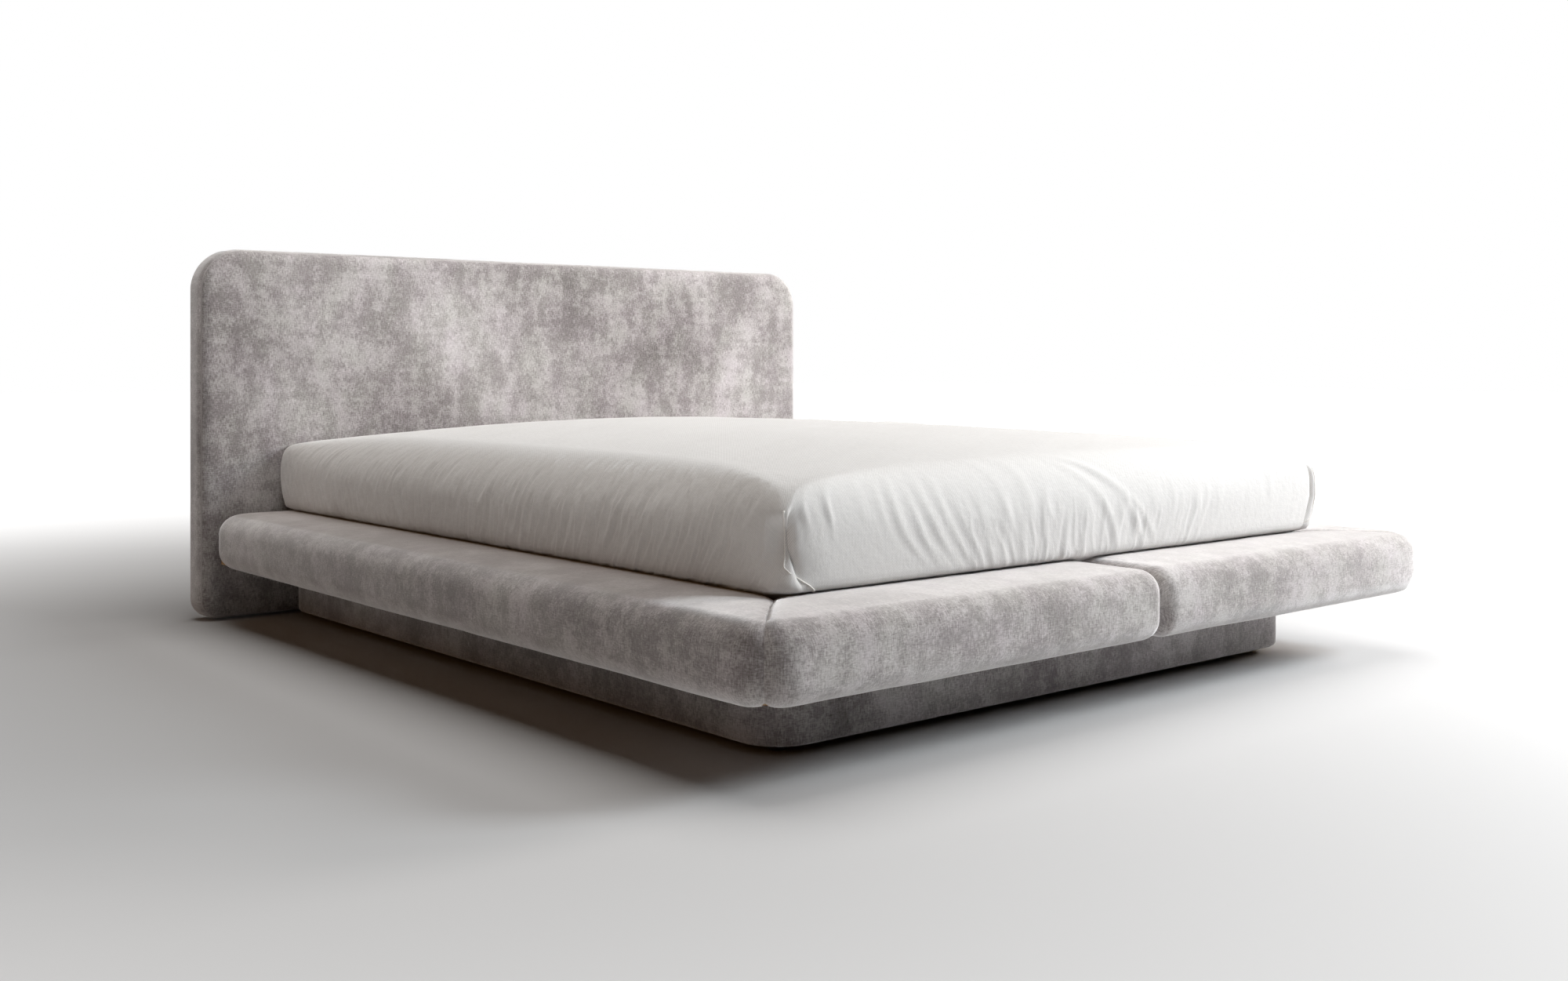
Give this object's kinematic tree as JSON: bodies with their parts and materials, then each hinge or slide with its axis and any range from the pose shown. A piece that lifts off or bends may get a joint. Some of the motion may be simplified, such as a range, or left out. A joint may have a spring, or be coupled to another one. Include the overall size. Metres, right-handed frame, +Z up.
{
  "type": "upholstered bed",
  "caption": "Low upholstered platform bed: padded ledge with mitred corners, recessed plinth, slatted deck, slab headboard and a mattress in a fitted sheet.",
  "frame": {"origin": "on the floor, under the middle of the whole bed's width and length", "axes": "+X across the bed, +Y from the foot to the headboard, +Z up"},
  "size_m": [2.008, 2.325, 0.961],
  "materials": {
    "velvet": "mottled grey velvet with a short upright pile, bright at grazing angles",
    "sheet_cotton": "off-white twill-woven cotton",
    "mattress_ticking": "matt ecru ticking",
    "back_cloth": "matt dark spun-bonded cloth",
    "pine": "planed, unvarnished",
    "plywood": "sanded face, layered edges",
    "beech": "satin lacquered",
    "zinc_steel": "bright zinc plating",
    "black_plastic": "matt moulded"
  },
  "bodies": {
    "bed_frame": {"centre_beam": "pine", "centre_leg_1": "pine", "centre_leg_2": "pine", "foot_bearer": "pine", "foot_bolt_left": "zinc_steel", "foot_bolt_right": "zinc_steel", "foot_rail_core_left": "plywood", "foot_rail_core_right": "plywood", "foot_rail_cover_left": "velvet", "foot_rail_cover_right": "velvet", "head_bearer": "pine", "headboard_back_panel": "back_cloth", "headboard_board": "plywood", "headboard_bolt_1": "zinc_steel", "headboard_bolt_2": "zinc_steel", "headboard_cover": "velvet", "headboard_glide_1": "black_plastic", "headboard_glide_2": "black_plastic", "plinth_board_foot": "pine", "plinth_board_head": "pine", "plinth_board_left": "pine", "plinth_board_right": "pine", "plinth_corner_block_foot_left": "pine", "plinth_corner_block_foot_right": "pine", "plinth_corner_block_head_left": "pine", "plinth_corner_block_head_right": "pine", "plinth_cover_foot": "velvet", "plinth_cover_left": "velvet", "plinth_cover_right": "velvet", "plinth_glide_foot_left": "black_plastic", "plinth_glide_foot_right": "black_plastic", "plinth_glide_head_left": "black_plastic", "plinth_glide_head_right": "black_plastic", "side_bearer_left": "pine", "side_bearer_right": "pine", "side_bolt_left_1": "zinc_steel", "side_bolt_left_2": "zinc_steel", "side_bolt_right_1": "zinc_steel", "side_bolt_right_2": "zinc_steel", "side_rail_core_left": "plywood", "side_rail_core_right": "plywood", "side_rail_cover_left": "velvet", "side_rail_cover_right": "velvet", "slat_01": "beech", "slat_02": "beech", "slat_03": "beech", "slat_04": "beech", "slat_05": "beech", "slat_06": "beech", "slat_07": "beech", "slat_08": "beech", "slat_09": "beech", "slat_10": "beech", "slat_11": "beech", "slat_12": "beech", "slat_13": "beech", "slat_14": "beech"},
    "mattress": {"fitted_sheet": "sheet_cotton", "mattress_core": "mattress_ticking"}
  },
  "joints": [
    {"name": "mattress_lift", "type": "slide", "parent": "bed_frame", "child": "mattress", "axis": [0, 0, 1], "range_m": [0, 0.72]}
  ]
}
